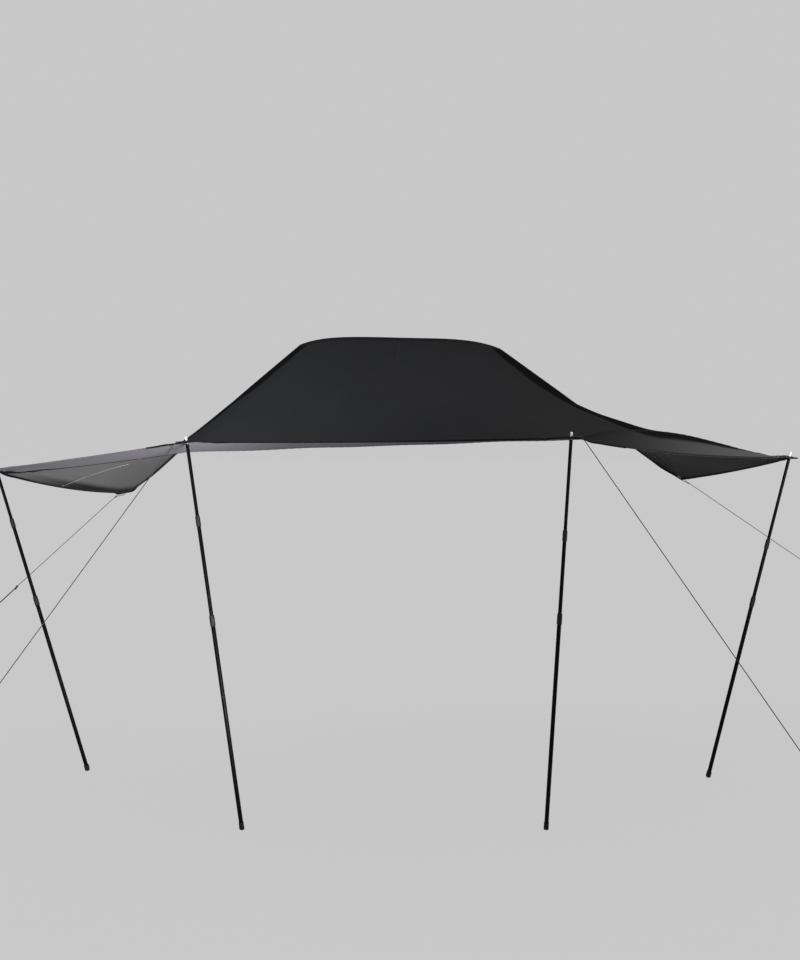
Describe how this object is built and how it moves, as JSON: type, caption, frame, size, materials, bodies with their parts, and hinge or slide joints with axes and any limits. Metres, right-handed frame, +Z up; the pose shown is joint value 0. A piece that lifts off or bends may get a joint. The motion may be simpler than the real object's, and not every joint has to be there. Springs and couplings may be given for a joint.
{
  "type": "tent awning",
  "caption": "Dark cloth canopy with a rail bead strip along its top edge, set up on leaning telescopic poles and pulled out by corded guy lines with plate tensioners.",
  "frame": {"origin": "centre of the round bead at the middle of the rail bead strip, 2.605 m over the ground", "axes": "+X to the right as seen from the front of the awning, +Y towards the tent that it hangs from, +Z up"},
  "size_m": [6.0808, 2.6469, 2.6186],
  "materials": {
    "canopy_cloth": "coated polyester cloth, dull, grey under side",
    "hem_tape": "woven tape, dull black",
    "patch_cloth": "doubled coated cloth, dull black",
    "eyelet_metal": "nickel plated, satin",
    "pole_tube": "black anodised, satin",
    "lock_collar": "black moulded nylon, fine grain",
    "spigot_steel": "zinc plated, satin",
    "foot_rubber": "black rubber, dull",
    "guy_cord": "braided polyester cord, dull grey",
    "tensioner_plate": "grey anodised, satin"
  },
  "bodies": {
    "canopy": {"front_panel": "canopy_cloth", "rear_panel_left": "canopy_cloth", "rear_panel_right": "canopy_cloth", "front_hem": "hem_tape", "side_hem_left": "hem_tape", "side_hem_right": "hem_tape", "rear_hem_left": "hem_tape", "rear_hem_right": "hem_tape", "rail_bead_strip": "hem_tape", "patch_side_left": "patch_cloth", "patch_front_left": "patch_cloth", "patch_front_right": "patch_cloth", "patch_side_right": "patch_cloth", "patch_rear_left": "patch_cloth", "patch_rear_right": "patch_cloth", "eyelet_side_left": "eyelet_metal", "eyelet_front_left": "eyelet_metal", "eyelet_front_right": "eyelet_metal", "eyelet_side_right": "eyelet_metal", "eyelet_rear_left": "eyelet_metal", "eyelet_rear_right": "eyelet_metal", "guy_front_left": "guy_cord", "guy_front_right": "guy_cord", "guy_rear_left": "guy_cord", "guy_rear_right": "guy_cord"},
    "top_front_left": {"tip_front_left": "spigot_steel", "top_tube_front_left": "pole_tube"},
    "middle_front_left": {"middle_tube_front_left": "pole_tube"},
    "lower_front_left": {"lower_tube_front_left": "pole_tube", "foot_front_left": "foot_rubber"},
    "upper_lock_front_left": {"upper_lock_front_left": "lock_collar"},
    "lower_lock_front_left": {"lower_lock_front_left": "lock_collar"},
    "top_front_right": {"tip_front_right": "spigot_steel", "top_tube_front_right": "pole_tube"},
    "middle_front_right": {"middle_tube_front_right": "pole_tube"},
    "lower_front_right": {"lower_tube_front_right": "pole_tube", "foot_front_right": "foot_rubber"},
    "upper_lock_front_right": {"upper_lock_front_right": "lock_collar"},
    "lower_lock_front_right": {"lower_lock_front_right": "lock_collar"},
    "top_side_left": {"tip_side_left": "spigot_steel", "top_tube_side_left": "pole_tube"},
    "middle_side_left": {"middle_tube_side_left": "pole_tube"},
    "lower_side_left": {"lower_tube_side_left": "pole_tube", "foot_side_left": "foot_rubber"},
    "upper_lock_side_left": {"upper_lock_side_left": "lock_collar"},
    "lower_lock_side_left": {"lower_lock_side_left": "lock_collar"},
    "top_side_right": {"tip_side_right": "spigot_steel", "top_tube_side_right": "pole_tube"},
    "middle_side_right": {"middle_tube_side_right": "pole_tube"},
    "lower_side_right": {"lower_tube_side_right": "pole_tube", "foot_side_right": "foot_rubber"},
    "upper_lock_side_right": {"upper_lock_side_right": "lock_collar"},
    "lower_lock_side_right": {"lower_lock_side_right": "lock_collar"},
    "tensioner_front_left": {"tensioner_front_left": "tensioner_plate"},
    "tensioner_front_right": {"tensioner_front_right": "tensioner_plate"},
    "tensioner_rear_left": {"tensioner_rear_left": "tensioner_plate"},
    "tensioner_rear_right": {"tensioner_rear_right": "tensioner_plate"}
  },
  "joints": [
    {"name": "swing_front_left", "type": "hinge", "parent": "canopy", "child": "top_front_left", "pos_m": [-1.01046, -2.10996, -0.79753], "axis": [1, 0, 0], "range_deg": [-12, 12]},
    {"name": "upper_draw_front_left", "type": "slide", "parent": "top_front_left", "child": "middle_front_left", "axis": [0.1469, -0.0219, -0.9889], "range_m": [-0.323, 0.505]},
    {"name": "lower_draw_front_left", "type": "slide", "parent": "middle_front_left", "child": "lower_front_left", "axis": [0.1469, -0.0219, -0.9889], "range_m": [-0.42, 0.385]},
    {"name": "upper_twist_front_left", "type": "hinge", "parent": "middle_front_left", "child": "upper_lock_front_left", "pos_m": [-0.96012, -2.11747, -1.13647], "axis": [-0.1469, 0.0219, 0.9889], "range_deg": [0, 90]},
    {"name": "lower_twist_front_left", "type": "hinge", "parent": "lower_front_left", "child": "lower_lock_front_left", "pos_m": [-0.89035, -2.12787, -1.6062], "axis": [-0.1469, 0.0219, 0.9889], "range_deg": [0, 90]},
    {"name": "swing_front_right", "type": "hinge", "parent": "canopy", "child": "top_front_right", "pos_m": [0.81183, -2.11022, -0.776], "axis": [1, 0, 0], "range_deg": [-12, 12]},
    {"name": "upper_draw_front_right", "type": "slide", "parent": "top_front_right", "child": "middle_front_right", "axis": [-0.0686, -0.0217, -0.9974], "range_m": [-0.41, 0.418]},
    {"name": "lower_draw_front_right", "type": "slide", "parent": "middle_front_right", "child": "lower_front_right", "axis": [-0.0686, -0.0217, -0.9974], "range_m": [-0.339, 0.466]},
    {"name": "upper_twist_front_right", "type": "hinge", "parent": "middle_front_right", "child": "upper_lock_front_right", "pos_m": [0.78234, -2.11954, -1.20464], "axis": [0.0686, 0.0217, 0.9974], "range_deg": [0, 90]},
    {"name": "lower_twist_front_right", "type": "hinge", "parent": "lower_front_right", "child": "lower_lock_front_right", "pos_m": [0.75531, -2.12809, -1.59762], "axis": [0.0686, 0.0217, 0.9974], "range_deg": [0, 90]},
    {"name": "swing_side_left", "type": "hinge", "parent": "canopy", "child": "top_side_left", "pos_m": [-2.24971, -1.44927, -0.94654], "axis": [1, 0, 0], "range_deg": [-12, 12]},
    {"name": "upper_draw_side_left", "type": "slide", "parent": "top_side_left", "child": "middle_side_left", "axis": [0.2964, -0.0119, -0.955], "range_m": [-0.254, 0.574]},
    {"name": "lower_draw_side_left", "type": "slide", "parent": "middle_side_left", "child": "lower_side_left", "axis": [0.2964, -0.0119, -0.955], "range_m": [-0.398, 0.407]},
    {"name": "upper_twist_side_left", "type": "hinge", "parent": "middle_side_left", "child": "upper_lock_side_left", "pos_m": [-2.16862, -1.45254, -1.20785], "axis": [-0.2964, 0.0119, 0.955], "range_deg": [0, 90]},
    {"name": "lower_twist_side_left", "type": "hinge", "parent": "lower_side_left", "child": "lower_lock_side_left", "pos_m": [-2.03435, -1.45795, -1.64046], "axis": [-0.2964, 0.0119, 0.955], "range_deg": [0, 90]},
    {"name": "swing_side_right", "type": "hinge", "parent": "canopy", "child": "top_side_right", "pos_m": [2.12927, -1.53576, -0.8713], "axis": [1, 0, 0], "range_deg": [-12, 12]},
    {"name": "upper_draw_side_right", "type": "slide", "parent": "top_side_right", "child": "middle_side_right", "axis": [-0.2529, -0.0135, -0.9674], "range_m": [-0.438, 0.39]},
    {"name": "lower_draw_side_right", "type": "slide", "parent": "middle_side_right", "child": "lower_side_right", "axis": [-0.2529, -0.0135, -0.9674], "range_m": [-0.269, 0.536]},
    {"name": "upper_twist_side_right", "type": "hinge", "parent": "middle_side_right", "child": "upper_lock_side_right", "pos_m": [2.0134, -1.54195, -1.3145], "axis": [0.2529, 0.0135, 0.9674], "range_deg": [0, 90]},
    {"name": "lower_twist_side_right", "type": "hinge", "parent": "lower_side_right", "child": "lower_lock_side_right", "pos_m": [1.93145, -1.54634, -1.62793], "axis": [0.2529, 0.0135, 0.9674], "range_deg": [0, 90]},
    {"name": "tension_front_left", "type": "slide", "parent": "canopy", "child": "tensioner_front_left", "axis": [-0.5253, -0.2398, -0.8164], "range_m": [0, 0.15]},
    {"name": "tension_front_right", "type": "slide", "parent": "canopy", "child": "tensioner_front_right", "axis": [0.5091, -0.2541, -0.8224], "range_m": [0, 0.15]},
    {"name": "tension_rear_left", "type": "slide", "parent": "canopy", "child": "tensioner_rear_left", "axis": [-0.7408, 0.0166, -0.6715], "range_m": [0, 0.15]},
    {"name": "tension_rear_right", "type": "slide", "parent": "canopy", "child": "tensioner_rear_right", "axis": [0.8266, 0.0103, -0.5626], "range_m": [0, 0.15]}
  ]
}
